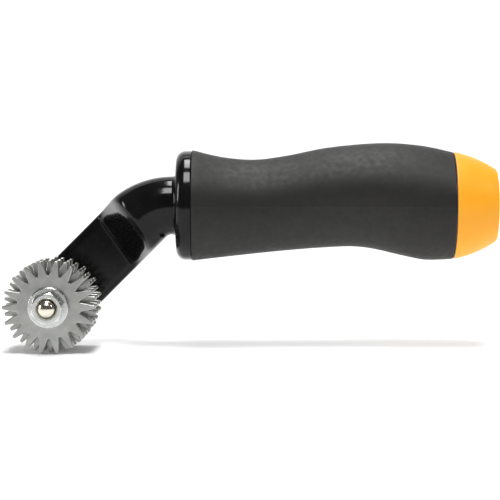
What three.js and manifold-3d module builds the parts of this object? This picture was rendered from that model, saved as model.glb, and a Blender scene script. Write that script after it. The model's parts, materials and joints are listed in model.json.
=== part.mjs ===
// A star-wheel seam roller: a stack of toothed steel discs on a cantilever axle, a cranked cast arm,
// and a two-tone hand grip. Millimetres, +Z up, +X from the roller towards the butt of the handle,
// +Y from the free end of the axle towards the arm. The origin is under the middle of the tool,
// on the surface that the lowest teeth touch.
import * as THREE from "three";
import { mergeVertices } from "three/addons/utils/BufferGeometryUtils.js";
import Module from "manifold-3d";

const wasm = await Module();
wasm.setup();

// ---------- driving dimensions ----------
const overallLength = 186.5;
const discRadius = 17.5; // to the tips of the teeth
const handleAxisHeight = 55.2;
const armAngle = THREE.MathUtils.degToRad(45); // between the arm and the handle
const gap = 0.1; // left between pieces that touch
const runningClearance = 0.3; // left beside pieces that turn
const axleSides = 32; // of the pieces turned about the axle, and below, about the handle's line
const handleSides = 40;

// ---------- star discs and hub ----------
const toothCount = 18;
const toothPitch = (2 * Math.PI) / toothCount;
const discCount = 6;
const discPitch = 6.35;
const discThickness = 4.76;
const spacerThickness = discPitch - discThickness;
const rootRadius = 11.9;
const tipHalfWidth = 0.6;
const rootHalfWidth = 0.25;
const firstToothAngle = THREE.MathUtils.degToRad(-9.7); // from straight down, seen from the axle's free end
const stackLength = discCount * discThickness + (discCount - 1) * spacerThickness;
const hubApothem = 6.4;
const hubBoreRadius = 5.4;
const hubFlange = { radius: 9, thickness: 1 };
const hubLip = { radius: 7.5, thickness: 0.5 };
const spacerRadius = 10.4;
const bushLength = 11;
const sleeveRadius = 4.5;
const bushBoreRadius = 4.62;

// ---------- axle hardware, 1/4 inch ----------
const boltRadius = 3.175;
const holeRadius = 3.3;
const washer = { radius: 7.65, thickness: 1.6 };
const nut = { apothem: 5.55, height: 5.6 };
const boltHead = { apothem: 5.55, height: 4 };
const hexTurn = THREE.MathUtils.degToRad(-12.5); // of the nut and the bolt head about the axle
const tipLength = 2.7; // of the domed end past the nut

// ---------- places along the axle ----------
const stackFront = -stackLength / 2;
const stackBack = stackLength / 2;
const washerFront = stackFront - hubLip.thickness - runningClearance - washer.thickness;
const nutFront = washerFront - gap - nut.height;
const boltTip = nutFront - tipLength;
const rearWasherFront = stackBack + hubFlange.thickness + runningClearance;
const paddleFront = rearWasherFront + washer.thickness + gap;
const paddleBack = -boltTip; // so that the tool reaches as far behind the grip as in front of it

// ---------- places along the tool ----------
const buttX = overallLength / 2;
const axleX = discRadius - overallLength / 2;
const axleZ = discRadius;
const cornerX = axleX + (handleAxisHeight - axleZ) / Math.tan(armAngle); // the arm's line meets the grip's
const gripLength = 99.2;
const gripFrontX = axleX + 53.2;
const gripBackX = gripFrontX + gripLength;
const flange = { radius: 20.8, front: axleX + 47.2, back: gripFrontX - gap, edge: 3.6, backEdge: 0.4 };

// ---------- arm ----------
const neckRadius = 11.1;
const outerBend = 35; // radius along the top of the bend
const innerBend = 3; // radius in the bend's inside corner
const paddleHalfWidth = 12.5;
const paddleEdge = 2.4;
const ridge = 7.3; // along the arm from the corner, where the neck stops being round
const rampLength = 14.5; // from the ridge to the crease where the flat paddle starts
const rampSkew = 2; // how much sooner the ramp comes on the arm's outer edge than along its middle
const backLead = 5.5; // how much sooner the ramp comes on the arm's back, so that it stays thick
const armCorner = new THREE.Vector3(cornerX, 0, handleAxisHeight);
const armDown = new THREE.Vector3(-Math.cos(armAngle), 0, -Math.sin(armAngle));
const armAcross = new THREE.Vector3(-Math.sin(armAngle), 0, Math.cos(armAngle));
const armLength = Math.hypot(cornerX - axleX, handleAxisHeight - axleZ);
const neckFillet = 1.4; // where the neck leaves the flange
const neckOverlap = 3; // how far the neck runs into the flange
const tang = { radius: 8, end: gripFrontX + 78 };
const tappedHole = { radius: 2.6, depth: 20 };

// ---------- handle ----------
const coreRadius = 14;
const coreBoreRadius = tang.radius + gap;
const webThickness = 5;
const screwPocketRadius = 9;
const screw = { radius: 2.4, headRadius: 5.2, headHeight: 3.6, length: 22 };
const screwWasher = { radius: 7, thickness: 1.4 };
const cap = { rimRadius: 20.4, faceRadius: 13.7, wall: 2.6 };
const spigot = { radius: 8.8, wall: 1.8, depth: 6 };

// ---------- materials ----------
const metal = (color, roughness) => new THREE.MeshStandardMaterial({ color, roughness, metalness: 1 });
const plastic = (color, roughness) => new THREE.MeshStandardMaterial({ color, roughness, metalness: 0 });
const glossBlack = plastic(0x0a0a0b, 0.12);
const softBlack = plastic(0x2b2b29, 0.7);
const coreBlack = plastic(0x1c1c1e, 0.5);
const orange = plastic(0xffa51f, 0.5);
const zinc = metal(0x9c9e99, 0.42);
const brightSteel = metal(0xd6d8d6, 0.16);
const bronze = metal(0xa9814a, 0.45);

// ---------- helpers ----------
const tool = new THREE.Group();

function addPiece(name, geometry, material) {
  const mesh = new THREE.Mesh(geometry, material);
  mesh.name = name;
  tool.add(mesh);
  return mesh;
}

function toSolid(geometry) {
  const bare = geometry.index ? geometry.toNonIndexed() : geometry.clone();
  bare.deleteAttribute("normal");
  bare.deleteAttribute("uv");
  const merged = mergeVertices(bare, 1e-4);
  return new wasm.Manifold(
    new wasm.Mesh({
      numProp: 3,
      vertProperties: merged.attributes.position.array,
      triVerts: new Uint32Array(merged.index.array),
    }),
  );
}

function toGeometry(solid) {
  const mesh = solid.getMesh();
  const geometry = new THREE.BufferGeometry();
  geometry.setAttribute("position", new THREE.BufferAttribute(mesh.vertProperties, 3));
  geometry.setIndex(new THREE.BufferAttribute(mesh.triVerts, 1));
  geometry.computeVertexNormals();
  return geometry;
}

// A closed skin over rings of points. Its ends are capped, or joined to each other when it is a loop.
function skin(rings, isLoop = false) {
  const count = rings[0].length;
  const points = rings.flat();
  const faces = [];
  const bands = isLoop ? rings.length : rings.length - 1;
  for (let i = 0; i < bands; i++) {
    const here = i * count;
    const next = ((i + 1) % rings.length) * count;
    for (let j = 0; j < count; j++) {
      const k = (j + 1) % count;
      faces.push([here + j, here + k, next + k], [here + j, next + k, next + j]);
    }
  }
  if (!isLoop) {
    const last = (rings.length - 1) * count;
    for (let j = 1; j < count - 1; j++) {
      faces.push([0, j + 1, j], [last, last + j, last + j + 1]);
    }
  }
  let volume = 0;
  for (const [a, b, c] of faces) {
    volume += points[a].dot(new THREE.Vector3().crossVectors(points[b], points[c]));
  }
  const outward = volume > 0 ? faces : faces.map(([a, b, c]) => [a, c, b]);
  const geometry = new THREE.BufferGeometry().setFromPoints(points);
  geometry.setIndex(outward.flat());
  geometry.computeVertexNormals();
  return geometry;
}

// A lathe whose profile of [radius, place] runs either way round and ends on the axis, or else is closed.
function turned(profile, segments) {
  const points = profile.map(([radius, place]) => new THREE.Vector2(radius, place));
  if (points[0].x > 0) points.push(points[0].clone());
  if (THREE.ShapeUtils.area(points) < 0) points.reverse();
  return new THREE.LatheGeometry(points, segments);
}

function turnedOnAxle(profile) {
  return turned(profile, axleSides).translate(axleX, 0, axleZ);
}

function turnedOnHandle(profile) {
  return turned(profile, handleSides)
    .rotateZ(-Math.PI / 2)
    .translate(0, 0, handleAxisHeight);
}

function ring(inner, outer, from, to, chamfer = 0) {
  return [
    [inner, from],
    [outer - chamfer, from],
    [outer, from + chamfer],
    [outer, to - chamfer],
    [outer - chamfer, to],
    [inner, to],
  ];
}

function polygonPath(Path, apothem, sides, turn = 0) {
  const corner = apothem / Math.cos(Math.PI / sides);
  const points = [];
  for (let i = 0; i < sides; i++) {
    const a = turn + (2 * Math.PI * i) / sides;
    points.push(new THREE.Vector2(corner * Math.cos(a), corner * Math.sin(a)));
  }
  return new Path(points);
}

// Extrudes a shape drawn in the plane across the axle, with its second axis up, from one y to another.
function extrudedOnAxle(shape, from, to) {
  const settings = { depth: to - from, bevelEnabled: false, curveSegments: 16 };
  const geometry = new THREE.ExtrudeGeometry(shape, settings);
  return geometry.rotateX(Math.PI / 2).translate(axleX, to, axleZ);
}

const smooth = (t) => t * t * (3 - 2 * t);
const blend = (a, b, t) => a + (b - a) * t;
const share = (value, from, to) => THREE.MathUtils.clamp((value - from) / (to - from), 0, 1);

// A smooth curve through [place, value] points, read at a place.
function along(points, place) {
  const last = points.length - 1;
  const next = points.findIndex(([p]) => p > place);
  const at = next < 0 ? last - 1 : Math.max(next - 1, 0);
  const slope = (k) => {
    const a = points[Math.max(k - 1, 0)];
    const b = points[Math.min(k + 1, last)];
    return (b[1] - a[1]) / (b[0] - a[0]);
  };
  const [x0, v0] = points[at];
  const [x1, v1] = points[at + 1];
  const h = x1 - x0;
  const t = share(place, x0, x1);
  const t2 = t * t;
  const t3 = t2 * t;
  return (
    (2 * t3 - 3 * t2 + 1) * v0 +
    (t3 - 2 * t2 + t) * h * slope(at) +
    (3 * t2 - 2 * t3) * v1 +
    (t3 - t2) * h * slope(at + 1)
  );
}

// ---------- roller ----------
// Alternate discs are the same stamping turned over, which sets their teeth half a pitch apart.
function starShape(turn) {
  const shape = new THREE.Shape();
  for (let i = 0; i < toothCount; i++) {
    const tip = turn + i * toothPitch - Math.PI / 2;
    const root = tip + toothPitch / 2;
    const tipHalf = tipHalfWidth / discRadius;
    const rootHalf = rootHalfWidth / rootRadius;
    const corners = [
      [discRadius, tip - tipHalf],
      [discRadius, tip + tipHalf],
      [rootRadius, root - rootHalf],
      [rootRadius, root + rootHalf],
    ];
    for (const [r, a] of corners) {
      const move = shape.curves.length || shape.currentPoint.lengthSq() ? "lineTo" : "moveTo";
      shape[move](r * Math.cos(a), r * Math.sin(a));
    }
  }
  shape.closePath();
  shape.holes.push(polygonPath(THREE.Path, hubApothem + gap, 6));
  return shape;
}

function makeRoller() {
  for (let i = 0; i < discCount; i++) {
    const from = stackFront + i * (discThickness + spacerThickness);
    const turn = firstToothAngle + (i % 2 ? toothPitch / 2 : 0);
    addPiece(`star_disc_${i + 1}`, extrudedOnAxle(starShape(turn), from, from + discThickness), zinc);
    if (i < discCount - 1) {
      const start = from + discThickness + gap / 2;
      const spacer = new THREE.Shape().absarc(0, 0, spacerRadius, 0, 2 * Math.PI);
      spacer.holes.push(polygonPath(THREE.Path, hubApothem + gap, 6));
      const solid = extrudedOnAxle(spacer, start, start + spacerThickness - gap);
      addPiece(`spacer_ring_${i + 1}`, solid, zinc);
    }
  }
  const barrel = new THREE.Shape(polygonPath(THREE.Path, hubApothem, 6).getPoints());
  const flangeRing = ring(0, hubFlange.radius, stackBack + gap, stackBack + hubFlange.thickness);
  const lipRing = ring(0, hubLip.radius, stackFront - hubLip.thickness, stackFront - gap);
  const bore = ring(0, hubBoreRadius, stackFront - 5, stackBack + 5);
  const hub = toSolid(extrudedOnAxle(barrel, stackFront - 0.3, stackBack + 0.5))
    .add(toSolid(turnedOnAxle(flangeRing)))
    .add(toSolid(turnedOnAxle(lipRing)))
    .subtract(toSolid(turnedOnAxle(bore)));
  addPiece("roller_hub", toGeometry(hub), zinc);

  const bushProfile = (from) => ring(bushBoreRadius, hubBoreRadius - gap, from, from + bushLength);
  addPiece("bush_front", turnedOnAxle(bushProfile(stackFront)), bronze);
  addPiece("bush_rear", turnedOnAxle(bushProfile(stackBack - bushLength)), bronze);
}

// ---------- axle ----------
function hexWithChamfer(apothem, from, to, chamferedEnds) {
  const prism = toSolid(extrudedOnAxle(polygonPath(THREE.Shape, apothem, 6, hexTurn), from, to));
  const corner = apothem / Math.cos(Math.PI / 6);
  const drop = (corner - apothem) * Math.tan(Math.PI / 6);
  const [front, back] = chamferedEnds;
  const profile = [
    [0, from],
    [front ? apothem : corner, from],
    [corner + 0.01, from + (front ? drop : 0)],
    [corner + 0.01, to - (back ? drop : 0)],
    [back ? apothem : corner, to],
    [0, to],
  ];
  return prism.intersect(toSolid(turnedOnAxle(profile)));
}

function makeAxle() {
  const shankEnd = nutFront - 0.7; // the dome starts here
  const domeSteps = 6;
  const dome = [];
  for (let i = 0; i <= domeSteps; i++) {
    const a = (i / domeSteps) * (Math.PI / 2);
    dome.push([boltRadius * Math.cos(a), shankEnd - (shankEnd - boltTip) * Math.sin(a)]);
  }
  const headFront = paddleBack - boltHead.height - gap;
  const shank = toSolid(turnedOnAxle([[0, headFront + 1], [boltRadius, headFront + 1], ...dome]));
  const head = hexWithChamfer(boltHead.apothem, headFront, paddleBack - gap, [false, true]);
  addPiece("axle_bolt", toGeometry(shank.add(head)), brightSteel);

  const nutBody = hexWithChamfer(nut.apothem, nutFront, nutFront + nut.height, [true, true]);
  const countersink = [
    [0, nutFront - 1],
    [boltRadius + 1.75, nutFront - 1],
    [boltRadius + 0.08, nutFront + 0.7],
    [boltRadius + 0.08, nutFront + nut.height + 1],
    [0, nutFront + nut.height + 1],
  ];
  addPiece("axle_nut", toGeometry(nutBody.subtract(toSolid(turnedOnAxle(countersink)))), brightSteel);

  const flat = (from) => turnedOnAxle(ring(holeRadius, washer.radius, from, from + washer.thickness, 0.25));
  addPiece("front_washer", flat(washerFront), brightSteel);
  addPiece("rear_washer", flat(rearWasherFront), brightSteel);

  const sleeveFrom = washerFront + washer.thickness + gap;
  const sleeveProfile = ring(holeRadius, sleeveRadius, sleeveFrom, rearWasherFront - gap);
  addPiece("inner_sleeve", turnedOnAxle(sleeveProfile), zinc);
}

// ---------- arm ----------
// A point on the neck's outer edge (side 1) or inner edge (side -1), at an angle round that edge's bend.
function edgeInBend(side, radius, angle) {
  const offset = (side * (paddleHalfWidth / Math.cos(armAngle) - neckRadius)) / Math.tan(armAngle);
  return new THREE.Vector3(
    cornerX - offset + radius * (Math.tan(armAngle / 2) - Math.sin(angle)),
    0,
    handleAxisHeight + side * neckRadius - radius * (1 - Math.cos(angle)),
  );
}

// A point on the same edge further down, where it is straight.
function edgeOnArm(side, distance) {
  const onLine = armCorner.clone().addScaledVector(armDown, distance);
  return onLine.addScaledVector(armAcross, side * paddleHalfWidth);
}

const distanceDownArm = (point) => point.clone().sub(armCorner).dot(armDown);

// A rounded rectangle that spans the two edges. Between the ridge and the crease it changes from the round
// neck to the flat paddle. The end angle bends the outline round the paddle's rounded end.
function armOutline(outer, inner, endAngle = 0) {
  const stepsPerCorner = 5;
  const middle = outer.clone().add(inner).multiplyScalar(0.5);
  const reach = outer.clone().sub(inner).multiplyScalar(0.5);
  const points = [];
  for (let quarter = 0; quarter < 4; quarter++) {
    const side = quarter === 0 || quarter === 3 ? 1 : -1;
    const face = quarter < 2 ? 1 : -1;
    for (let i = 0; i <= stepsPerCorner; i++) {
      const a = ((quarter + i / stepsPerCorner) * Math.PI) / 2;
      let point = middle.clone();
      for (let pass = 0; pass < 3; pass++) {
        const sooner = (rampSkew * point.clone().sub(middle).dot(reach)) / reach.lengthSq();
        const place = distanceDownArm(point) + sooner - ridge;
        const t = smooth(share(place, 0, rampLength));
        const front = blend(-neckRadius, paddleFront, t);
        const back = blend(neckRadius, paddleBack, smooth(share(place + backLead, 0, rampLength)));
        const width = blend(neckRadius, paddleHalfWidth, t);
        const corner = Math.min(blend(neckRadius, paddleEdge, t), (back - front) / 2) - 0.01;
        const u = side * (width - corner) + corner * Math.cos(a);
        const v = face * ((back - front) / 2 - corner) + corner * Math.sin(a);
        const beyond = Math.max(Math.abs(u), width - corner) * Math.sin(endAngle);
        point = middle.clone().addScaledVector(reach, (u / width) * Math.cos(endAngle));
        point.addScaledVector(armDown, beyond).setY((front + back) / 2 + v);
      }
      points.push(point);
    }
  }
  return points;
}

function makeLimb() {
  const bendSteps = 7;
  const rampSteps = 10;
  const endSteps = 7;
  const lastEndAngle = THREE.MathUtils.degToRad(86);
  const insideFlange = (edge) => edge.setX(flange.front + neckOverlap);
  const rings = [
    armOutline(insideFlange(edgeInBend(1, outerBend, 0)), insideFlange(edgeInBend(-1, innerBend, 0))),
  ];
  for (let i = 0; i <= bendSteps; i++) {
    const angle = (armAngle * i) / bendSteps;
    rings.push(armOutline(edgeInBend(1, outerBend, angle), edgeInBend(-1, innerBend, angle)));
  }
  const outerFrom = distanceDownArm(edgeInBend(1, outerBend, armAngle));
  const innerFrom = distanceDownArm(edgeInBend(-1, innerBend, armAngle));
  const rampEnd = ridge + rampLength + rampSkew;
  for (let i = 1; i <= rampSteps; i++) {
    const outer = edgeOnArm(1, blend(outerFrom, rampEnd, i / rampSteps));
    rings.push(armOutline(outer, edgeOnArm(-1, blend(innerFrom, rampEnd, i / rampSteps))));
  }
  for (let i = 0; i <= endSteps; i++) {
    rings.push(armOutline(edgeOnArm(1, armLength), edgeOnArm(-1, armLength), (lastEndAngle * i) / endSteps));
  }
  return toSolid(skin(rings));
}

function makeArm() {
  const { radius, front, back, edge, backEdge } = flange;
  const rim = [];
  for (let i = 0; i <= 5; i++) {
    const a = ((i / 5) * Math.PI) / 2;
    rim.push([radius - edge + edge * Math.sin(a), front + edge - edge * Math.cos(a)]);
  }
  const fillet = [];
  for (let i = 0; i <= 3; i++) {
    const a = ((i / 3) * Math.PI) / 2;
    fillet.push([neckRadius + neckFillet * (1 - Math.cos(a)), front - neckFillet * (1 - Math.sin(a))]);
  }
  const flangeAndTang = turnedOnHandle([
    [0, front - neckFillet],
    ...fillet,
    ...rim,
    [radius, back - backEdge],
    [radius - backEdge, back],
    [tang.radius, back],
    [tang.radius, tang.end - 1],
    [tang.radius - 1, tang.end],
    [tappedHole.radius, tang.end],
    [tappedHole.radius, tang.end - tappedHole.depth],
    [0, tang.end - tappedHole.depth],
  ]);
  const hole = toSolid(turnedOnAxle(ring(0, holeRadius, paddleFront - 5, paddleBack + 5)));
  const pocketFrom = paddleBack - boltHead.height - 2 * gap;
  const pocket = toSolid(
    extrudedOnAxle(polygonPath(THREE.Shape, boltHead.apothem + gap, 6, hexTurn), pocketFrom, paddleBack + 5),
  );
  const arm = makeLimb().add(toSolid(flangeAndTang)).subtract(hole).subtract(pocket);
  addPiece("arm_casting", toGeometry(arm), glossBlack);
}

// ---------- handle ----------
// Distances above, below and beside the handle's line, at distances from the front of the grip.
const gripTop = [
  [0, 21.05],
  [12, 18.4],
  [24, 17.5],
  [36, 19],
  [52, 22.1],
  [73, 23.8],
  [88, 22.7],
  [gripLength, 20.4],
];
const gripBottom = [
  [0, 21],
  [34, 17.3],
  [59, 15.6],
  [68, 16.3],
  [80, 19],
  [89, 20.7],
  [gripLength, 20.4],
];
const gripSide = [
  [0, 20.8],
  [24, 17.9],
  [52, 18.9],
  [75, 20.4],
  [gripLength, 20.4],
];

function gripSection(distance, segments) {
  const x = gripFrontX + distance;
  const top = along(gripTop, distance);
  const bottom = along(gripBottom, distance);
  const halfWidth = along(gripSide, distance);
  const points = [];
  for (let i = 0; i < segments; i++) {
    const a = (2 * Math.PI * i) / segments;
    const z = (top - bottom) / 2 + ((top + bottom) / 2) * Math.sin(a);
    points.push(new THREE.Vector3(x, halfWidth * Math.cos(a), handleAxisHeight + z));
  }
  return points;
}

function makeHandle() {
  const segments = 36;
  const stations = 18;
  const rings = [];
  for (let i = 0; i <= stations; i++) {
    rings.push(gripSection((gripLength * i) / stations, segments));
  }
  const boreRadius = coreRadius + gap;
  for (const x of [gripBackX, gripFrontX]) {
    const points = [];
    for (let i = 0; i < segments; i++) {
      const a = (2 * Math.PI * i) / segments;
      const z = handleAxisHeight + boreRadius * Math.sin(a);
      points.push(new THREE.Vector3(x, boreRadius * Math.cos(a), z));
    }
    rings.push(points);
  }
  addPiece("grip_sleeve", skin(rings, true), softBlack);

  const webFront = tang.end + gap;
  const webBack = webFront + webThickness;
  const coreProfile = [
    [coreBoreRadius, gripFrontX],
    [coreRadius, gripFrontX],
    [coreRadius, gripBackX],
    [screwPocketRadius, gripBackX],
    [screwPocketRadius, webBack],
    [screw.radius + 0.6, webBack],
    [screw.radius + 0.6, webFront],
    [coreBoreRadius, webFront],
  ];
  addPiece("handle_core", turnedOnHandle(coreProfile), coreBlack);

  const washerFrom = webBack + gap;
  const washerTo = washerFrom + screwWasher.thickness;
  const washerProfile = ring(screw.radius + 0.3, screwWasher.radius, washerFrom, washerTo);
  addPiece("tang_washer", turnedOnHandle(washerProfile), zinc);

  const headFrom = washerTo + gap;
  const headTo = headFrom + screw.headHeight;
  const socket = { radius: 2.2, depth: 2 };
  const screwProfile = [
    [0, headFrom - screw.length],
    [screw.radius, headFrom - screw.length],
    [screw.radius, headFrom],
    [screw.headRadius, headFrom],
    [screw.headRadius, headTo - 0.8],
    [screw.headRadius - 0.8, headTo],
    [socket.radius, headTo],
    [socket.radius, headTo - socket.depth],
    [0, headTo - socket.depth],
  ];
  addPiece("tang_screw", turnedOnHandle(screwProfile), brightSteel);
}

// The cap's wall is a convex taper from the grip's size to a small round edge and a flat end.
function makeEndCap() {
  const front = gripBackX + 0.3;
  const inside = buttX - cap.wall;
  const start = new THREE.Vector2(cap.rimRadius, front);
  const end = new THREE.Vector2(cap.faceRadius + 0.3, buttX - 0.6);
  const middle = new THREE.Vector2(cap.faceRadius + 5.3, (start.y + end.y) / 2);
  const taper = new THREE.QuadraticBezierCurve(start, middle, end).getPoints(6);
  const profile = [
    ...taper.map((point) => [point.x, point.y]),
    [cap.faceRadius, buttX - 0.15],
    [cap.faceRadius - 0.5, buttX],
    [0, buttX],
    [0, inside],
    [spigot.radius - spigot.wall, inside],
    [spigot.radius - spigot.wall, front - spigot.depth],
    [spigot.radius, front - spigot.depth],
    [spigot.radius, inside],
    [cap.faceRadius - 1.5, inside],
    [cap.rimRadius - cap.wall, front],
  ];
  addPiece("end_cap", turnedOnHandle(profile), orange);
}

makeRoller();
makeAxle();
makeArm();
makeHandle();
makeEndCap();

export default tool;
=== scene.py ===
# %% [markdown]
# # A star-wheel seam roller
# The tool is a stack of toothed steel discs that rolls on a fixed axle. A gloss-black cast arm holds the
# axle from one side, and its far end runs into a thick hand grip with an orange cap. The lesson starts from
# a frame that already holds every piece at its real size and place, so the work here is fine shape and
# finish. The first cell loads that frame and measures the lines that the pieces are built around.

# %% Load the frame
import json
import math

import bmesh
import bpy
from mathutils import Matrix, Vector

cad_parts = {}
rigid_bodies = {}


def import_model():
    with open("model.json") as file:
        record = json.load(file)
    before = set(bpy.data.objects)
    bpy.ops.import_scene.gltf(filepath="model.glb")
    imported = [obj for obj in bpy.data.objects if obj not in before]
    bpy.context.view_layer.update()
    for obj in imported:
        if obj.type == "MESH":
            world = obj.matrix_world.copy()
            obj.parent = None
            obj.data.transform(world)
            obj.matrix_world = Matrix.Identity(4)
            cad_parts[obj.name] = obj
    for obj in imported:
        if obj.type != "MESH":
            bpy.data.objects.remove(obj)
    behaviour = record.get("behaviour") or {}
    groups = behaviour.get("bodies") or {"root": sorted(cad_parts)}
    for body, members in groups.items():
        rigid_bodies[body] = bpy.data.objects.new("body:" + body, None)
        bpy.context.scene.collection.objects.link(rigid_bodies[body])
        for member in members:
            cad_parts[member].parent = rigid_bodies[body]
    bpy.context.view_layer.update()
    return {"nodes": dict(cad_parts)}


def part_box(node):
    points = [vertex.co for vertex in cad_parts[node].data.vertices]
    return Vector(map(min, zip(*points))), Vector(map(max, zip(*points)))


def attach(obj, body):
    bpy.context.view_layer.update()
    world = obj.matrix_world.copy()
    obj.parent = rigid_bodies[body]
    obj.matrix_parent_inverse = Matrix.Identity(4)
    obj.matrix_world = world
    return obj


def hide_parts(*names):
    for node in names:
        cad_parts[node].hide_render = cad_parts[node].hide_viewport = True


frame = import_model()
scene = bpy.context.scene
mm = 0.001


def middle(node):
    low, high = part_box(node)
    return (low + high) / 2


def radius_of(node):
    low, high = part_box(node)
    return (high.z - low.z) / 2


axle = middle("inner_sleeve")
handle = middle("handle_core")
grip_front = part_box("grip_sleeve")[0].x
grip_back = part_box("grip_sleeve")[1].x
butt_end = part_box("end_cap")[1].x
print(f"axle line at x {axle.x / mm:.1f}, z {axle.z / mm:.1f} mm; handle line at z {handle.z / mm:.1f} mm")

# %% [markdown]
# ## Camera
# A product picture is taken with a long lens from well back, so that the two ends of the tool keep nearly
# the same scale. The camera stands about 785 mm away, square to the handle, and looks down by less than
# three degrees. A short lens close by would make the roller, which stands nearest, too large.

# %% Camera
VIEW_DISTANCE = 785 * mm
VIEW_PITCH = math.radians(2.67)
LENS = 148
aim = Vector((axle.x + 75.3 * mm, 0, axle.z + 20.7 * mm))
away = Vector((0, -math.cos(VIEW_PITCH), math.sin(VIEW_PITCH)))

bpy.ops.object.camera_add(location=aim + away * VIEW_DISTANCE)
camera = bpy.context.active_object
camera.rotation_euler = (math.pi / 2 - VIEW_PITCH, 0, 0)
camera.data.lens = LENS
camera.data.sensor_width = 36
camera.data.clip_end = 20
scene.camera = camera
print(f"camera at {[round(v, 3) for v in camera.location]}, {LENS} mm lens")

# %% [markdown]
# ## Floor and backdrop
# The tool stands on a pale sweep: a flat floor that turns up into a wall with no visible corner. It could be
# two planes, but their meeting line would show as a horizon. One plane whose back edge is extruded upwards,
# with the fold beveled into a wide curve, has no such line.

# %% Floor and backdrop
SWEEP_WIDTH = 6.0
SWEEP_FRONT = -2.4
SWEEP_BACK = 1.6
SWEEP_HEIGHT = 2.6
SWEEP_CURVE = 0.7


def clear_selection():
    if bpy.context.object and bpy.context.object.mode != "OBJECT":
        bpy.ops.object.mode_set(mode="OBJECT")
    bpy.ops.object.select_all(action="DESELECT")


def apply_place(obj):
    clear_selection()
    obj.select_set(True)
    bpy.context.view_layer.objects.active = obj
    bpy.ops.object.transform_apply(location=True, rotation=True, scale=True)


def select_edges(obj, test):
    """Selects the edges whose two ends both pass the test, and leaves the piece in edit mode."""
    bpy.ops.object.mode_set(mode="EDIT")
    bpy.ops.mesh.select_mode(type="EDGE")
    bpy.ops.mesh.select_all(action="DESELECT")
    net = bmesh.from_edit_mesh(obj.data)
    for edge in net.edges:
        edge.select_set(all(test(v.co) for v in edge.verts))
    net.select_flush_mode()
    bmesh.update_edit_mesh(obj.data)


clear_selection()
bpy.ops.mesh.primitive_plane_add(size=1, location=(0, (SWEEP_FRONT + SWEEP_BACK) / 2, 0))
sweep = bpy.context.active_object
sweep.name = "studio_sweep"
sweep.scale = (SWEEP_WIDTH, SWEEP_BACK - SWEEP_FRONT, 1)
apply_place(sweep)
select_edges(sweep, lambda co: co.y > SWEEP_BACK - 0.01)
bpy.ops.mesh.extrude_region_move(TRANSFORM_OT_translate={"value": (0, 0, SWEEP_HEIGHT)})
select_edges(sweep, lambda co: co.y > SWEEP_BACK - 0.01 and co.z < 0.01)
bpy.ops.mesh.bevel(offset=SWEEP_CURVE, segments=24, affect="EDGES", clamp_overlap=False)
bpy.ops.object.mode_set(mode="OBJECT")
bpy.ops.object.shade_smooth()
print(f"sweep with {len(sweep.data.polygons)} faces")

# %% [markdown]
# ## Tools for building pieces
# Most pieces of this tool are turned on a lathe, so one helper does what a lathe does: a chain of points is
# extruded from a single vertex, and then spun round a line. A second helper draws a skin over a row of
# outlines, by extruding a ring again and again and moving each new ring to its outline. That suits the arm
# and the grip, which are not round. Modifiers could do part of this, but spin and extrude keep the shape
# where a reader can see it.

# %% Lathe helper
SPIN_STEPS = 96
WELD_DISTANCE = 0.002 * mm


def draw_chain(name, points):
    clear_selection()
    bpy.ops.mesh.primitive_plane_add(size=mm, location=points[0])
    obj = bpy.context.active_object
    obj.name = name
    obj.data.name = name
    apply_place(obj)
    bpy.ops.object.mode_set(mode="EDIT")
    bpy.ops.mesh.select_mode(type="VERT")
    bpy.ops.mesh.select_all(action="SELECT")
    bpy.ops.mesh.merge(type="CENTER")
    for here, there in zip(points, points[1:]):
        bpy.ops.mesh.extrude_vertices_move(TRANSFORM_OT_translate={"value": there - here})
    return obj


def close_up(obj):
    """Merges doubled points and turns every face outwards."""
    bpy.context.view_layer.objects.active = obj
    bpy.ops.object.mode_set(mode="EDIT")
    bpy.ops.mesh.select_mode(type="VERT")
    bpy.ops.mesh.select_all(action="SELECT")
    bpy.ops.mesh.remove_doubles(threshold=WELD_DISTANCE)
    bpy.ops.mesh.normals_make_consistent(inside=False)
    bpy.ops.object.mode_set(mode="OBJECT")


def use_modifier(obj, kind, **settings):
    modifier = obj.modifiers.new(kind.title(), kind)
    for key, value in settings.items():
        setattr(modifier, key, value)
    clear_selection()
    obj.select_set(True)
    bpy.context.view_layer.objects.active = obj
    bpy.ops.object.modifier_apply(modifier=modifier.name)


def round_edges(obj, width, segments=3, angle=30):
    """Rounds every edge sharper than the angle."""
    settings = {"width": width, "segments": segments, "limit_method": "ANGLE"}
    use_modifier(obj, "BEVEL", angle_limit=math.radians(angle), harden_normals=False, **settings)


def turn_on_lathe(name, profile, line, along, rounding=0.0):
    """Spins a profile of (radius, place) in metres. The line is a point on the axis, and along is X or Y."""
    if along == "Y":
        chain = [Vector((line.x, place, line.z + radius)) for radius, place in profile]
    else:
        chain = [Vector((place, line.y, line.z + radius)) for radius, place in profile]
    if profile[0][0] > 0:
        chain.append(chain[0].copy())
    obj = draw_chain(name, chain)
    bpy.ops.mesh.select_all(action="SELECT")
    axis = (0, 1, 0) if along == "Y" else (1, 0, 0)
    bpy.ops.mesh.spin(steps=SPIN_STEPS, angle=2 * math.pi, center=line, axis=axis)
    close_up(obj)
    if rounding:
        round_edges(obj, rounding)
    return obj


def cut(obj, tool, operation="DIFFERENCE"):
    """Cuts with, joins to or keeps what is shared with another mesh, which is then removed."""
    use_modifier(obj, "BOOLEAN", object=tool, operation=operation, solver="EXACT")
    bpy.data.objects.remove(tool)


def ring_profile(inner, outer, front, back):
    """The profile of a plain ring."""
    return [(inner, front), (outer, front), (outer, back), (inner, back)]


print("lathe helper ready")

# %% Skin helper


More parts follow.
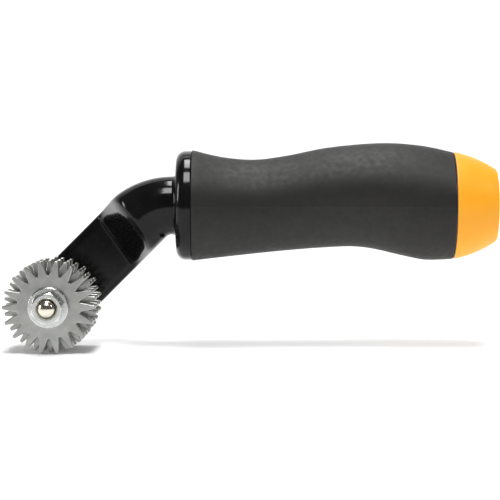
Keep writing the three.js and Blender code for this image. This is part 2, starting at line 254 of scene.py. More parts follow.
def draw_skin(name, rings, is_loop=False):
    """A skin over outlines with the same number of points. Its ends are filled, or meet when it is a loop."""
    clear_selection()
    bpy.ops.mesh.primitive_circle_add(vertices=len(rings[0]), radius=1 * mm)
    obj = bpy.context.active_object
    obj.name = name
    obj.data.name = name
    apply_place(obj)
    bpy.ops.object.mode_set(mode="EDIT")
    bpy.ops.mesh.select_mode(type="VERT")
    bpy.ops.mesh.select_all(action="SELECT")
    net = bmesh.from_edit_mesh(obj.data)
    turn = net.verts.layers.int.new("turn")
    net.verts.ensure_lookup_table()
    for i, vert in enumerate(net.verts):
        vert[turn] = i
        vert.co = rings[0][i]
    if not is_loop:
        bpy.ops.mesh.edge_face_add()
    for ring in rings[1:] + (rings[:1] if is_loop else []):
        bpy.ops.mesh.extrude_region()
        net = bmesh.from_edit_mesh(obj.data)
        turn = net.verts.layers.int["turn"]
        for vert in net.verts:
            if vert.select:
                vert.co = ring[vert[turn]]
    bmesh.update_edit_mesh(obj.data)
    bpy.ops.object.mode_set(mode="OBJECT")
    obj.data.attributes.remove(obj.data.attributes["turn"])
    close_up(obj)
    return obj


print("skin helper ready")

# %% Finish helper


def add_to_tool(obj, body, material_slot, material, *nodes, smooth_angle=35):
    """Gives a piece its finish and its place in the tool. Weighted normals keep its flat faces even."""
    clear_selection()
    obj.select_set(True)
    bpy.context.view_layer.objects.active = obj
    bpy.ops.object.shade_smooth_by_angle(angle=math.radians(smooth_angle))
    use_modifier(obj, "WEIGHTED_NORMAL", keep_sharp=True)
    obj.data.materials.clear()
    obj.data.materials.append(material)
    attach(obj, body)
    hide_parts(*nodes)
    print(f"{obj.name}: {len(obj.data.polygons)} faces")
    return obj


print("finish helper ready")

# %% [markdown]
# ## Finishes
# Each finish is a small node tree on Object coordinates, which are metres here, so a noise scale of 1000
# has features about a millimetre wide. A noise changes the colour a little, another changes the roughness,
# and a finer one makes the bump. Image textures could hold the same marks, but a pattern made by nodes has
# no seams and works at any size.

# %% Finish builder


class Finish:
    """A Principled material, with short calls for the patterns that this tool's finishes use."""

    def __init__(self, name):
        self.material = bpy.data.materials.new(name)
        self.material.use_nodes = True
        self.nodes = self.material.node_tree.nodes
        self.links = self.material.node_tree.links
        self.shader = self.nodes["Principled BSDF"]
        self.place = self.nodes.new("ShaderNodeTexCoord").outputs["Object"]

    def set(self, **values):
        for key, value in values.items():
            self.shader.inputs[key.replace("_", " ")].default_value = value
        return self

    def noise(self, scale, detail):
        noise = self.nodes.new("ShaderNodeTexNoise")
        noise.inputs["Scale"].default_value = scale
        noise.inputs["Detail"].default_value = detail
        self.links.new(self.place, noise.inputs["Vector"])
        return noise.outputs["Fac"]

    def depth(self, back, front):
        """A value that grows from 0 to 1 between two places along Y."""
        axes = self.nodes.new("ShaderNodeSeparateXYZ")
        spread = self.nodes.new("ShaderNodeMapRange")
        spread.inputs["From Min"].default_value = back
        spread.inputs["From Max"].default_value = front
        self.links.new(self.place, axes.inputs["Vector"])
        self.links.new(axes.outputs["Y"], spread.inputs["Value"])
        return spread.outputs["Result"]

    def colour(self, value, dark, light, low=0.35, high=0.65):
        ramp = self.nodes.new("ShaderNodeValToRGB")
        ramp.color_ramp.elements[0].position = low
        ramp.color_ramp.elements[0].color = (*dark, 1)
        ramp.color_ramp.elements[1].position = high
        ramp.color_ramp.elements[1].color = (*light, 1)
        self.links.new(value, ramp.inputs["Fac"])
        self.links.new(ramp.outputs["Color"], self.shader.inputs["Base Color"])
        return self

    def roughness(self, value, low, high):
        spread = self.nodes.new("ShaderNodeMapRange")
        spread.inputs["From Min"].default_value = 0.3
        spread.inputs["From Max"].default_value = 0.7
        spread.inputs["To Min"].default_value = low
        spread.inputs["To Max"].default_value = high
        self.links.new(value, spread.inputs["Value"])
        self.links.new(spread.outputs["Result"], self.shader.inputs["Roughness"])
        return self

    def bump(self, value, strength, depth):
        bump = self.nodes.new("ShaderNodeBump")
        bump.inputs["Strength"].default_value = strength
        bump.inputs["Distance"].default_value = depth
        self.links.new(value, bump.inputs["Height"])
        self.links.new(bump.outputs["Normal"], self.shader.inputs["Normal"])
        return self


print("finish builder ready")

# %% [markdown]
# ### Metals
# The discs are stamped and zinc plated: a flat, slightly warm grey with soft cloudy patches and a fine
# tumbled grain. The nut and washers are bright zinc, bluer and sharper. The axle's domed end is polished
# nickel, which mirrors the studio. All three are fully metallic, so the differences are in roughness and
# in the faint tint.

# %% Metals
zinc = Finish("disc_zinc_plate").set(Metallic=1.0)
zinc.colour(zinc.noise(260, 4), (0.37, 0.375, 0.355), (0.45, 0.455, 0.435))
zinc.roughness(zinc.noise(700, 5), 0.28, 0.38)
zinc.bump(zinc.noise(5200, 3), 0.18, 0.02 * mm)

bright_zinc = Finish("hardware_bright_zinc").set(Metallic=1.0)
bright_zinc.colour(bright_zinc.noise(420, 4), (0.58, 0.59, 0.58), (0.64, 0.65, 0.64))
bright_zinc.roughness(bright_zinc.noise(300, 3), 0.24, 0.29)
bright_zinc.bump(bright_zinc.noise(600, 2), 0.03, 0.01 * mm)

nickel = Finish("axle_polished_nickel").set(Metallic=1.0)
nickel.colour(nickel.noise(500, 3), (0.66, 0.62, 0.52), (0.74, 0.70, 0.61))
nickel.roughness(nickel.noise(1200, 4), 0.17, 0.24)
nickel.bump(nickel.noise(2600, 2), 0.06, 0.02 * mm)

bronze = Finish("bush_oiled_bronze").set(Metallic=1.0)
bronze.colour(bronze.noise(900, 5), (0.36, 0.22, 0.11), (0.58, 0.40, 0.22))
bronze.roughness(bronze.noise(1500, 4), 0.35, 0.6)
bronze.bump(bronze.noise(6000, 3), 0.3, 0.03 * mm)
print("four metals")

# %% [markdown]
# ### Enamel, grip and plastics
# The arm's enamel is thick and glossy over cast metal, so its reflections are sharp but a little wavy, which
# a low, wide bump gives. The grip is a soft-touch moulding: charcoal rather than black, with a very fine
# sparked grain that spreads the light. The cap is a satin orange plastic with a faint grain. A sheen on the
# grip would also lighten its edges, but the grain and a high roughness already do.

# %% Enamel, grip and plastics
enamel = Finish("arm_gloss_enamel").set(IOR=1.5, Specular_IOR_Level=0.22)
enamel.colour(enamel.noise(120, 3), (0.0035, 0.0035, 0.0038), (0.0065, 0.0062, 0.0062))
enamel.roughness(enamel.noise(600, 4), 0.09, 0.15)
enamel.bump(enamel.noise(120, 2), 0.08, 0.06 * mm)

soft_grip = Finish("grip_soft_moulding").set(IOR=1.45)
soft_grip.colour(soft_grip.noise(170, 5), (0.0066, 0.0063, 0.0054), (0.0096, 0.0092, 0.0079))
soft_grip.roughness(soft_grip.noise(500, 5), 0.52, 0.64)
soft_grip.bump(soft_grip.noise(2600, 4), 0.35, 0.05 * mm)

cap_plastic = Finish("cap_orange_plastic").set(IOR=1.46)
cap_plastic.colour(cap_plastic.noise(150, 3), (1.0, 0.405, 0.010), (1.0, 0.425, 0.014))
cap_plastic.roughness(cap_plastic.noise(700, 4), 0.42, 0.52)
cap_plastic.bump(cap_plastic.noise(3000, 3), 0.15, 0.03 * mm)

core_plastic = Finish("core_black_plastic").set(IOR=1.5)
core_plastic.colour(core_plastic.noise(200, 4), (0.010, 0.010, 0.011), (0.018, 0.018, 0.019))
core_plastic.roughness(core_plastic.noise(700, 4), 0.45, 0.6)
core_plastic.bump(core_plastic.noise(1800, 4), 0.2, 0.05 * mm)

# Painted shade: the sweep is white up to 0.42 m in front of the tool, and its colour is painted down to
# near-black by 0.78 m in front, where the flat paddle mirrors it. The sweep also glows a little in the same
# tone.
PAINTED_SHADE_DARKEST_BY = -0.78
PAINTED_SHADE_FROM = -0.42
sweep_with_painted_shade = Finish("sweep_white_and_painted_shade").set(Roughness=0.7, Emission_Strength=0.12)
sweep_with_painted_shade.colour(sweep_with_painted_shade.depth(PAINTED_SHADE_DARKEST_BY, PAINTED_SHADE_FROM), (0.07, 0.07, 0.07), (0.87, 0.87, 0.87), 0, 1)
sweep_tone_with_painted_shade = sweep_with_painted_shade.shader.inputs["Base Color"].links[0].from_socket
sweep_with_painted_shade.links.new(sweep_tone_with_painted_shade, sweep_with_painted_shade.shader.inputs["Emission Color"])
sweep.data.materials.append(sweep_with_painted_shade.material)
print("five plain finishes")

# %% [markdown]
# ## Star discs
# A disc is stamped from plate with eighteen narrow teeth, and stamping rounds its edges. The teeth could
# be drawn all at once, but one tooth is enough: its outline is drawn as a chain and spun into eighteen
# copies that share their ends. The outline is filled, its corners are rounded, and it is extruded to the
# plate's thickness. The hub's six-sided hole is cut last, and the edges of both faces are beveled. The
# bevel is kept smaller than the rounded corners, or it would fold over itself and spoil the cut.
# Alternate discs are turned by half a tooth.

# %% Star disc outline
DISC_COUNT = 6
TOOTH_COUNT = 18
PITCH = 2 * math.pi / TOOTH_COUNT
TIP_HALF_WIDTH = 0.6 * mm
ROOT_HALF_WIDTH = 0.3 * mm
ROOT_RADIUS = 11.9 * mm
FIRST_TOOTH = math.radians(-9.7)
CORNER_ROUND = 0.3 * mm
TOOTH_WELD = 0.01 * mm
NEARLY_STRAIGHT = math.radians(3)
disc_radius = max(radius_of("star_disc_1"), radius_of("star_disc_2"))


def across_axle(radius, angle, y):
    """A point about the axle. Angles start straight down and grow towards the handle."""
    return Vector((axle.x + radius * math.sin(angle), y, axle.z - radius * math.cos(angle)))


def draw_star(name, first_tooth, front, back):
    tip = TIP_HALF_WIDTH / disc_radius
    root = ROOT_HALF_WIDTH / ROOT_RADIUS
    corners = [
        (ROOT_RADIUS, -PITCH / 2),
        (ROOT_RADIUS, -PITCH / 2 + root),
        (disc_radius, -tip),
        (disc_radius, tip),
        (ROOT_RADIUS, PITCH / 2 - root),
        (ROOT_RADIUS, PITCH / 2),
    ]
    obj = draw_chain(name, [across_axle(r, first_tooth + a, front) for r, a in corners])
    bpy.ops.mesh.select_all(action="SELECT")
    bpy.ops.mesh.spin(steps=TOOTH_COUNT, angle=2 * math.pi, center=axle, axis=(0, 1, 0), dupli=True)
    bpy.ops.mesh.select_all(action="SELECT")
    bpy.ops.mesh.remove_doubles(threshold=TOOTH_WELD)
    bpy.ops.mesh.select_all(action="SELECT")
    bpy.ops.mesh.edge_face_add()
    bpy.ops.mesh.dissolve_limited(angle_limit=NEARLY_STRAIGHT)
    bpy.ops.mesh.select_all(action="SELECT")
    bpy.ops.mesh.bevel(offset=CORNER_ROUND, segments=3, affect="VERTICES", clamp_overlap=True)
    bpy.ops.mesh.select_all(action="SELECT")
    bpy.ops.mesh.extrude_region_move(TRANSFORM_OT_translate={"value": (0, back - front, 0)})
    close_up(obj)
    return obj


# %% Star discs
ROLLED_EDGE = 0.34 * mm
HUB_APOTHEM = 6.5 * mm


def hex_tool(name, apothem, turn, front, back):
    """A six-sided bar along the axle."""
    clear_selection()
    corner = apothem / math.cos(math.pi / 6)
    bpy.ops.mesh.primitive_cylinder_add(vertices=6, radius=corner, depth=back - front)
    obj = bpy.context.active_object
    obj.name = name
    upright = Matrix.Rotation(math.pi / 2, 4, "X")
    spun = Matrix.Rotation(turn, 4, "Y")
    obj.matrix_world = Matrix.Translation((axle.x, (front + back) / 2, axle.z)) @ spun @ upright
    apply_place(obj)
    return obj


for i in range(1, DISC_COUNT + 1):
    low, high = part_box(f"star_disc_{i}")
    first = FIRST_TOOTH + (PITCH / 2 if i % 2 == 0 else 0)
    disc = draw_star(f"star_plate_{i}", first, low.y, high.y)
    for face in (low.y, high.y):
        select_edges(disc, lambda co: abs(co.y - face) < 0.01 * mm)
        bpy.ops.mesh.bevel(offset=ROLLED_EDGE, segments=3, affect="EDGES", clamp_overlap=False)
        bpy.ops.object.mode_set(mode="OBJECT")
    cut(disc, hex_tool("hub_bore", HUB_APOTHEM, math.pi / 6, low.y - mm, high.y + mm))
    add_to_tool(disc, "roller", "disc_zinc", zinc.material, f"star_disc_{i}")

# %% [markdown]
# ## Spacer rings
# Plain turned rings keep the discs apart. They show only as the dark floor between the teeth, so each is a
# ring with a small chamfer, spun from four points.

# %% Spacer rings
HUB_CORNER = 7.45 * mm
SPACER_EDGE = 0.15 * mm
for i in range(1, DISC_COUNT):
    low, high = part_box(f"spacer_ring_{i}")
    profile = ring_profile(HUB_CORNER, radius_of(f"spacer_ring_{i}"), low.y, high.y)
    ring = turn_on_lathe(f"turned_spacer_{i}", profile, axle, "Y", rounding=SPACER_EDGE)
    add_to_tool(ring, "roller", "disc_zinc", zinc.material, f"spacer_ring_{i}")

# %% [markdown]
# ## Washers
# A washer is stamped from strip, so one face has a rounded edge and the other a sharp one. Both faces are
# given a small round edge here, which catches a thin line of light round the rim.

# %% Washers
AXLE_HOLE = 3.3 * mm
WASHER_EDGE = 0.4 * mm
for node in ("front_washer", "rear_washer"):
    low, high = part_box(node)
    profile = ring_profile(AXLE_HOLE, radius_of(node), low.y, high.y)
    washer = turn_on_lathe(f"plain_{node}", profile, axle, "Y", rounding=WASHER_EDGE)
    add_to_tool(washer, "tool_frame", "bright_steel", bright_zinc.material, node)

# %% [markdown]
# ## Nut and axle bolt
# A hexagonal nut is a six-sided bar whose corners are turned down to a cone at both ends. That is exactly how
# it is made here: a six-sided bar is kept only where it overlaps a turned, chamfered blank. The bolt's head
# is made the same way, and its far end is spun with a smooth dome that shows inside the nut's countersink.

# %% Nut
HEX_TURN = math.radians(12.5)
HEX_APOTHEM = 5.55 * mm
HEX_EDGE = 0.12 * mm
HEX_EDGE_ANGLE = 25
FLAT_SHARE = 0.96
CORNER_DROP = 0.975
BOLT_RADIUS = 3.175 * mm
THREAD_PLAY = 0.12 * mm
COUNTERSINK_WIDTH = 1.9 * mm
COUNTERSINK_DEPTH = 0.9 * mm


def chamfered_hex(name, front, back, chamfer_front, chamfer_back):
    """A hexagon across flats with its corners turned down to a cone."""
    bar = hex_tool(name, HEX_APOTHEM, HEX_TURN, front, back)
    corner = HEX_APOTHEM / math.cos(math.pi / 6)
    drop = (corner - HEX_APOTHEM) * CORNER_DROP
    flat = HEX_APOTHEM * FLAT_SHARE
    wide = corner + 0.4 * mm
    blank_front, blank_back = front - 0.01 * mm, back + 0.01 * mm
    profile = [
        (0, blank_front),
        (flat if chamfer_front else wide, blank_front),
        (wide, front + (drop if chamfer_front else 0)),
        (wide, back - (drop if chamfer_back else 0)),
        (flat if chamfer_back else wide, blank_back),
        (0, blank_back),
    ]
    cut(bar, turn_on_lathe("blank", profile, axle, "Y"), "INTERSECT")
    return bar


low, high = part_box("axle_nut")
nut = chamfered_hex("hex_nut", low.y, high.y, True, True)
countersink = [
    (0, low.y - mm),
    (BOLT_RADIUS + COUNTERSINK_WIDTH, low.y - mm),
    (BOLT_RADIUS + THREAD_PLAY, low.y + COUNTERSINK_DEPTH),
    (BOLT_RADIUS + THREAD_PLAY, high.y + mm),
    (0, high.y + mm),
]
cut(nut, turn_on_lathe("nut_bore", countersink, axle, "Y"))
round_edges(nut, HEX_EDGE, 2, HEX_EDGE_ANGLE)
add_to_tool(nut, "tool_frame", "bright_steel", bright_zinc.material, "axle_nut")

# %% Axle bolt
DOME_STEPS = 14
HEAD_THICKNESS = 4 * mm
low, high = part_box("axle_bolt")
head_front = high.y - HEAD_THICKNESS
dome_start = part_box("axle_nut")[0].y - 0.2 * mm
dome_height = dome_start - low.y
profile = [(0, head_front + mm), (BOLT_RADIUS, head_front + mm)]
for i in range(DOME_STEPS + 1):
    a = i / DOME_STEPS * math.pi / 2
    profile.append((BOLT_RADIUS * math.cos(a), dome_start - dome_height * math.sin(a)))
profile[-1] = (0, low.y)
bolt = turn_on_lathe("domed_axle_bolt", profile, axle, "Y")
head = chamfered_hex("bolt_head", head_front, high.y, False, True)
round_edges(head, HEX_EDGE, 2, HEX_EDGE_ANGLE)
cut(bolt, head, "UNION")
add_to_tool(bolt, "tool_frame", "bright_steel", nickel.material, "axle_bolt")

# %% [markdown]
# ## Arm
# The arm is one casting. Its neck leaves the round flange along the handle, bends down by 45 degrees, and
# stays round up to a ridge. It then drops back steeply and flattens into a paddle that carries the axle.
# Boxes and a bend modifier could rough this out, but the outline changes as it goes, so it is a skin over
# outlines, and each spans the arm's outer and inner edges. The outer edge bends widely and the inner one
# tightly, as two pulled ends of the same bar do. An outline is a rectangle with round corners, and the
# neck's is so round that it is a circle. On the back the ramp starts sooner than on the front, so the
# casting stays thick where it is steep. The tang, the flange and the fillet are circles on the handle's
# line, in the same skin.

# %% Arm's edges and outlines
ARM_ANGLE = math.radians(45)
NECK_RADIUS = 11.1 * mm
OUTER_BEND = 35 * mm
INNER_BEND = 3 * mm
PADDLE_HALF_WIDTH = 12.5 * mm
PADDLE_EDGE = 2.6 * mm
RIDGE_AT = 7.3 * mm
RAMP_LENGTH = 14.5 * mm
RAMP_SKEW = 2 * mm
BACK_LEAD = 5.5 * mm
OUTLINE_POINTS = 96
corner = Vector((axle.x + (handle.z - axle.z) / math.tan(ARM_ANGLE), 0, handle.z))
down_arm = Vector((-math.cos(ARM_ANGLE), 0, -math.sin(ARM_ANGLE)))
across_arm = Vector((-math.sin(ARM_ANGLE), 0, math.cos(ARM_ANGLE)))
arm_length = math.hypot(corner.x - axle.x, handle.z - axle.z)
paddle_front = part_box("rear_washer")[1].y + 0.1 * mm
paddle_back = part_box("arm_casting")[1].y


def mix(a, b, t):
    return a + (b - a) * t


def ramp(t, ease=0.32):
    """A straight ramp from 0 to 1 whose two ends are rounded off."""
    t = min(max(t, 0), 1)
    whole = 2 * ease * (1 - ease)
    if t < ease:
        return t * t / whole
    if t > 1 - ease:
        return 1 - (1 - t) ** 2 / whole
    return (t - ease / 2) / (1 - ease)


def round_rectangle(half_u, half_v, rounding, share):
    """The point at a share of the way round a rectangle with round corners, starting beside +u."""
    flat_u, flat_v, arc = half_u - rounding, half_v - rounding, rounding * math.pi / 2
    quarter = flat_u + flat_v + arc
    turn, rest = divmod(share * 4, 1)
    along = (1 - rest if turn % 2 == 1 else rest) * quarter
    if along < flat_v:
        u, v = half_u, along
    elif along < flat_v + arc:
        a = (along - flat_v) / rounding
        u, v = flat_u + rounding * math.cos(a), flat_v + rounding * math.sin(a)
    else:
        u, v = flat_u - (along - flat_v - arc), half_v
    signs = [(1, 1), (-1, 1), (-1, -1), (1, -1)][int(turn) % 4]
    return u * signs[0], v * signs[1]


def edge_in_bend(side, radius, angle):
    """A point on the neck's outer edge (side 1) or inner edge (side -1), at an angle round its bend."""
    offset = side * (PADDLE_HALF_WIDTH / math.cos(ARM_ANGLE) - NECK_RADIUS) / math.tan(ARM_ANGLE)
    x = corner.x - offset + radius * (math.tan(ARM_ANGLE / 2) - math.sin(angle))
    return Vector((x, 0, handle.z + side * NECK_RADIUS - radius * (1 - math.cos(angle))))


def edge_on_arm(side, distance):
    """A point on the same edge further down, where it is straight."""
    return corner + down_arm * distance + across_arm * side * PADDLE_HALF_WIDTH


def arm_point(outer, inner, share, end_angle):
    centre, reach = (outer + inner) / 2, (outer - inner) / 2
    point, u = centre, 0
    for _ in range(3):
        place = (point - corner).dot(down_arm) + RAMP_SKEW * u - RIDGE_AT
        t = ramp(place / RAMP_LENGTH)
        front = mix(-NECK_RADIUS, paddle_front, t)
        back = mix(NECK_RADIUS, paddle_back, ramp((place + BACK_LEAD) / RAMP_LENGTH))
        half_width = mix(NECK_RADIUS, PADDLE_HALF_WIDTH, t)
        rounding = min(mix(NECK_RADIUS, PADDLE_EDGE, t**2), (back - front) / 2) - 0.01 * mm
        width, v = round_rectangle(half_width, (back - front) / 2, rounding, share)
        u = width / half_width
        beyond = max(abs(width), half_width - rounding) * math.sin(end_angle)
        point = centre + reach * u * math.cos(end_angle) + down_arm * beyond
    return point + Vector((0, (front + back) / 2 + v, 0))


def arm_outline(outer, inner, end_angle=0.0):
    """An outline that spans the two edges. The end angle bends it round the paddle's rounded end."""
    return [arm_point(outer, inner, (i + 0.5) / OUTLINE_POINTS, end_angle) for i in range(OUTLINE_POINTS)]


def circle_on_handle(x, radius):
    circle = []
    for i in range(OUTLINE_POINTS):
        a = (i + 0.5) / OUTLINE_POINTS * 2 * math.pi
        circle.append(Vector((x, radius * math.sin(a), handle.z + radius * math.cos(a))))
    return circle


print(f"the arm is {arm_length / mm:.1f} mm from corner to axle")

# %% Arm
FLANGE_RADIUS = 20.8 * mm
FLANGE_ROUND = 3.6 * mm
FLANGE_BACK_ROUND = 0.4 * mm
NECK_FILLET = 1.4 * mm
flange_front = axle.x + 47.2 * mm
flange_back = grip_front - 0.1 * mm
tang_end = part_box("arm_casting")[1].x
tang_radius = 8 * mm


def quarter_round(steps):
    return [i / steps * math.pi / 2 for i in range(steps + 1)]


rings = [circle_on_handle(tang_end, tang_radius - mm), circle_on_handle(tang_end - mm, tang_radius)]
rings.append(circle_on_handle(flange_back + 0.4 * mm, tang_radius))
rings.append(circle_on_handle(flange_back, tang_radius + 0.4 * mm))
for a in quarter_round(4):
    radius = FLANGE_RADIUS - FLANGE_BACK_ROUND * (1 - math.sin(a))
    rings.append(circle_on_handle(flange_back - FLANGE_BACK_ROUND * (1 - math.cos(a)), radius))
for a in quarter_round(10):
    radius = FLANGE_RADIUS - FLANGE_ROUND * (1 - math.cos(a))
    rings.append(circle_on_handle(flange_front + FLANGE_ROUND * (1 - math.sin(a)), radius))
for a in quarter_round(5):
    radius = NECK_RADIUS + NECK_FILLET * (1 - math.sin(a))
    rings.append(circle_on_handle(flange_front - NECK_FILLET * (1 - math.cos(a)), radius))
BEND_STEPS = 24
RAMP_STEPS = 34
END_STEPS = 16
for i in range(BEND_STEPS + 1):
    angle = ARM_ANGLE * i / BEND_STEPS
    rings.append(arm_outline(edge_in_bend(1, OUTER_BEND, angle), edge_in_bend(-1, INNER_BEND, angle)))
outer_from = (edge_in_bend(1, OUTER_BEND, ARM_ANGLE) - corner).dot(down_arm)
inner_from = (edge_in_bend(-1, INNER_BEND, ARM_ANGLE) - corner).dot(down_arm)
ramp_end = RIDGE_AT + RAMP_LENGTH + RAMP_SKEW
for i in range(1, RAMP_STEPS + 1):
    outer = edge_on_arm(1, mix(outer_from, ramp_end, i / RAMP_STEPS))
    rings.append(arm_outline(outer, edge_on_arm(-1, mix(inner_from, ramp_end, i / RAMP_STEPS))))
for distance in (ramp_end + mm, mix(ramp_end, arm_length, 0.5), arm_length - mm):
    rings.append(arm_outline(edge_on_arm(1, distance), edge_on_arm(-1, distance)))
for i in range(END_STEPS + 1):
    end_angle = math.radians(87) * i / END_STEPS
    rings.append(arm_outline(edge_on_arm(1, arm_length), edge_on_arm(-1, arm_length), end_angle))
arm = draw_skin("cast_arm", rings)
use_modifier(arm, "SUBSURF", levels=1, render_levels=1)
hole_front, hole_back = 15 * mm, 35 * mm
hole = [(0, hole_front), (AXLE_HOLE, hole_front), (AXLE_HOLE, hole_back), (0, hole_back)]
cut(arm, turn_on_lathe("axle_hole", hole, axle, "Y"))
pocket_play, pocket_back = 0.1 * mm, 40 * mm
cut(arm, hex_tool("head_pocket", HEX_APOTHEM + pocket_play, HEX_TURN, head_front - pocket_play, pocket_back))
add_to_tool(arm, "tool_frame", "arm_black", enamel.material, "arm_casting", smooth_angle=40)

# %% [markdown]
# ## Grip
# The grip is a soft moulding over a hard core, waisted near the flange and swelling into the palm. It could
# be a subdivided box, but its outline is already known: the frame's own grip gives the height above,
# below and beside the handle's line at each station. A smooth curve through those gives a far finer skin.
# A mould's two halves leave a low line along each side, so two extra points make a narrow raised rib there.

# %% Grip's outline
grip_mesh = frame["nodes"]["grip_sleeve"].data
stations = {}
for vert in grip_mesh.vertices:
    stations.setdefault(round(vert.co.x / mm, 2), []).append(vert.co)
station_rows = []
for x in sorted(stations):
    row = stations[x]
    top = max(co.z for co in row) - handle.z
    bottom = handle.z - min(co.z for co in row)
    side = max(co.y for co in row)
    station_rows.append((x * mm, top, bottom, side))


def read_curve(x, column):
    """Reads a smooth curve through the stations."""
    last = len(station_rows) - 1
    i = 0
    while i < last - 1 and station_rows[i + 1][0] <= x:
        i += 1
    rows = [station_rows[min(max(k, 0), last)] for k in (i - 1, i, i + 1, i + 2)]
    p = [row[column] for row in rows]
    t = min(max((x - rows[1][0]) / (rows[2][0] - rows[1][0]), 0), 1)
    bend = 2 * p[0] - 5 * p[1] + 4 * p[2] - p[3]
    return 0.5 * (2 * p[1] + (p[2] - p[0]) * t + bend * t**2 + (3 * p[1] - p[0] - 3 * p[2] + p[3]) * t**3)


print(f"{len(station_rows)} stations on the grip")

# %% Grip
GRIP_POINTS = 96
RIB_ANGLES = [math.radians(a) for a in (0.3, 0.9)]
RIB_HEIGHT = 0.07 * mm
grip_angles = [i / GRIP_POINTS * 2 * math.pi for i in range(GRIP_POINTS)]
for side_angle in (0, math.pi, 2 * math.pi):
    grip_angles += [side_angle + s * a for a in RIB_ANGLES for s in (1, -1)]
grip_angles = sorted(a for a in grip_angles if 0 <= a < 2 * math.pi)


def is_on_rib(angle):
    return abs(math.sin(angle)) < math.sin(RIB_ANGLES[0]) * 1.1


def grip_outline(x, inset=0.0):
    top, bottom, side = (read_curve(x, column) - inset for column in (1, 2, 3))
    level = math.asin((bottom - top) / (top + bottom))
    outline = []
    for a in grip_angles:
        proud = RIB_HEIGHT if is_on_rib(a) and not inset else 0
        turned = a + level * math.cos(a)
        z = (top - bottom) / 2 + ((top + bottom) / 2) * math.sin(turned)
        outline.append(Vector((x, (side + proud) * math.cos(turned), handle.z + z)))
    return outline


def bore_outline(x, radius):
    return [Vector((x, radius * math.cos(a), handle.z + radius * math.sin(a))) for a in grip_angles]


EDGE_FRONT = 0.3 * mm
EDGE_BACK = 0.35 * mm
GRIP_STATIONS = 72
GRIP_BORE = 14.1 * mm
rings = []
for a in quarter_round(4)[:-1]:
    rings.append(grip_outline(grip_front + EDGE_FRONT * (1 - math.sin(a)), EDGE_FRONT * (1 - math.cos(a))))
rings = rings[::-1]
for i in range(GRIP_STATIONS + 1):
    rings.append(grip_outline(mix(grip_front + EDGE_FRONT, grip_back - EDGE_BACK, i / GRIP_STATIONS)))
for a in quarter_round(3)[1:]:
    rings.append(grip_outline(grip_back - EDGE_BACK * (1 - math.sin(a)), EDGE_BACK * (1 - math.cos(a))))
rings += [bore_outline(grip_back, GRIP_BORE), bore_outline(grip_front, GRIP_BORE)]
grip = draw_skin("soft_grip", rings, is_loop=True)
add_to_tool(grip, "tool_frame", "grip_black", soft_grip.material, "grip_sleeve")

# %% [markdown]
# ## End cap
# The cap is a thin turned shell with a convex taper, a flat end and a short spigot that plugs the core. The
# taper is a curve of few points, spun, with the small round edge at the flat end made by a bevel.

# %% End cap
CAP_FACE_RADIUS = 13.7 * mm
CAP_WALL = 2.6 * mm
CAP_BULGE = 5.3 * mm
CAP_EDGE = 0.5 * mm
SPIGOT_BORE = 7 * mm
SPIGOT_RADIUS = 8.8 * mm
CAP_TAPER_STEPS = 16
cap_front = grip_back + 0.3 * mm
cap_rim = radius_of("end_cap")
spigot_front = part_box("end_cap")[0].x
inside = butt_end - CAP_WALL
start = Vector((cap_rim, cap_front))
end = Vector((CAP_FACE_RADIUS, butt_end))
pull = Vector((CAP_FACE_RADIUS + CAP_BULGE, (start.y + end.y) / 2))
profile = [
    (0, inside),
    (SPIGOT_BORE, inside),
    (SPIGOT_BORE, spigot_front),
    (SPIGOT_RADIUS, spigot_front),
    (SPIGOT_RADIUS, inside),
    (CAP_FACE_RADIUS - 1.5 * mm, inside),
    (cap_rim - CAP_WALL, cap_front),
    (cap_rim, cap_front),
]
for i in range(1, CAP_TAPER_STEPS + 1):
    t = i / CAP_TAPER_STEPS
    profile.append(tuple(start * (1 - t) ** 2 + pull * 2 * t * (1 - t) + end * t**2))
profile.append((0, butt_end))
cap = turn_on_lathe("orange_end_cap", profile, handle, "X", rounding=CAP_EDGE)
add_to_tool(cap, "tool_frame", "cap_orange", cap_plastic.material, "end_cap")

# %% [markdown]
# ## Hidden pieces
# The hub, bushes, sleeve, core, washer and screw keep the frame's own shapes, because nothing shows of them
# when the tool is together. They still get their true finishes, for a reader who takes the tool apart.

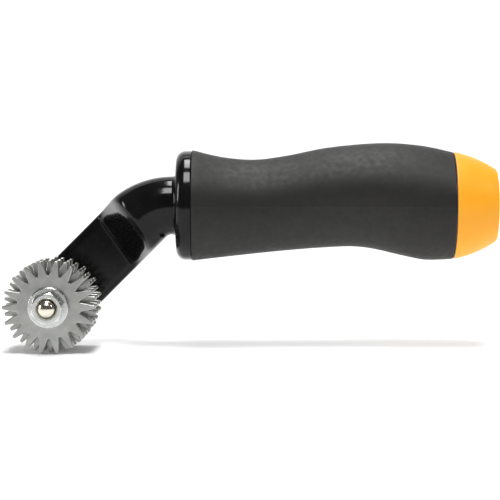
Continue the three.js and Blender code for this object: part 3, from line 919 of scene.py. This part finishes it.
# %% Hidden pieces
hidden = {
    "roller_hub": zinc,
    "inner_sleeve": zinc,
    "bush_front": bronze,
    "bush_rear": bronze,
    "handle_core": core_plastic,
    "tang_washer": zinc,
    "tang_screw": bright_zinc,
}
for node, finish in hidden.items():
    mesh = frame["nodes"][node].data
    mesh.materials.clear()
    mesh.materials.append(finish.material)
print(f"{len(hidden)} hidden pieces finished")

# %% [markdown]
# ## Light
# A box almost overhead whitens the floor and the top of the handle, and a box in front and above lights
# the roller and the cap and lays the pale band behind the tool. A small box at each side gives the small
# bright marks on round metal, and a wide one washes the wall. The floor's colour is painted dark in front
# of the tool, a painted shade in place of a dark room, so that the flat paddle has something dark to
# mirror. Only the roller and its hardware cast a shadow from the overhead box: the handle's shadow would
# fall as a second band beside the pale one. Light linking does this, and the other boxes cast shadows from
# everything.

# %% Light


def add_softbox(name, place, target, width, height, power):
    bpy.ops.object.light_add(type="AREA", location=place)
    light = bpy.context.active_object
    light.name = name
    light.data.shape = "RECTANGLE"
    light.data.size = width
    light.data.size_y = height
    light.data.energy = power
    light.rotation_euler = (Vector(target) - Vector(place)).to_track_quat("-Z", "Y").to_euler()
    return light


tool_middle = (0, 0, 0.04)
softbox_top = add_softbox("softbox_top", (0, 0.30, 1.70), tool_middle, 0.35, 0.75, 14)
add_softbox("softbox_front", (0, -0.66, 1.38), tool_middle, 0.5, 0.6, 17)
add_softbox("softbox_left", (-1.15, -0.05, 0.38), tool_middle, 0.30, 0.45, 5)
add_softbox("softbox_right", (1.15, -0.25, 0.85), tool_middle, 0.25, 0.40, 2)
add_softbox("backdrop_wash", (0, 0.9, 1.3), (0, 1.6, 0.5), 2.4, 0.3, 8)

shadow_casters = bpy.data.collections.new("overhead_shadow_casters")
for obj in scene.objects:
    if obj.name.startswith(("star_plate", "turned_spacer", "plain_", "hex_nut", "domed_axle")):
        shadow_casters.objects.link(obj)
softbox_top.light_linking.blocker_collection = shadow_casters

world = bpy.data.worlds.new("studio_room")
world.use_nodes = True
scene.world = world
world_light = world.node_tree.nodes["Background"]
world_light.inputs["Color"].default_value = (1.0, 0.99, 0.97, 1)
world_light.inputs["Strength"].default_value = 0.08
scene.view_settings.view_transform = "Standard"
print("five softboxes and a dim room")
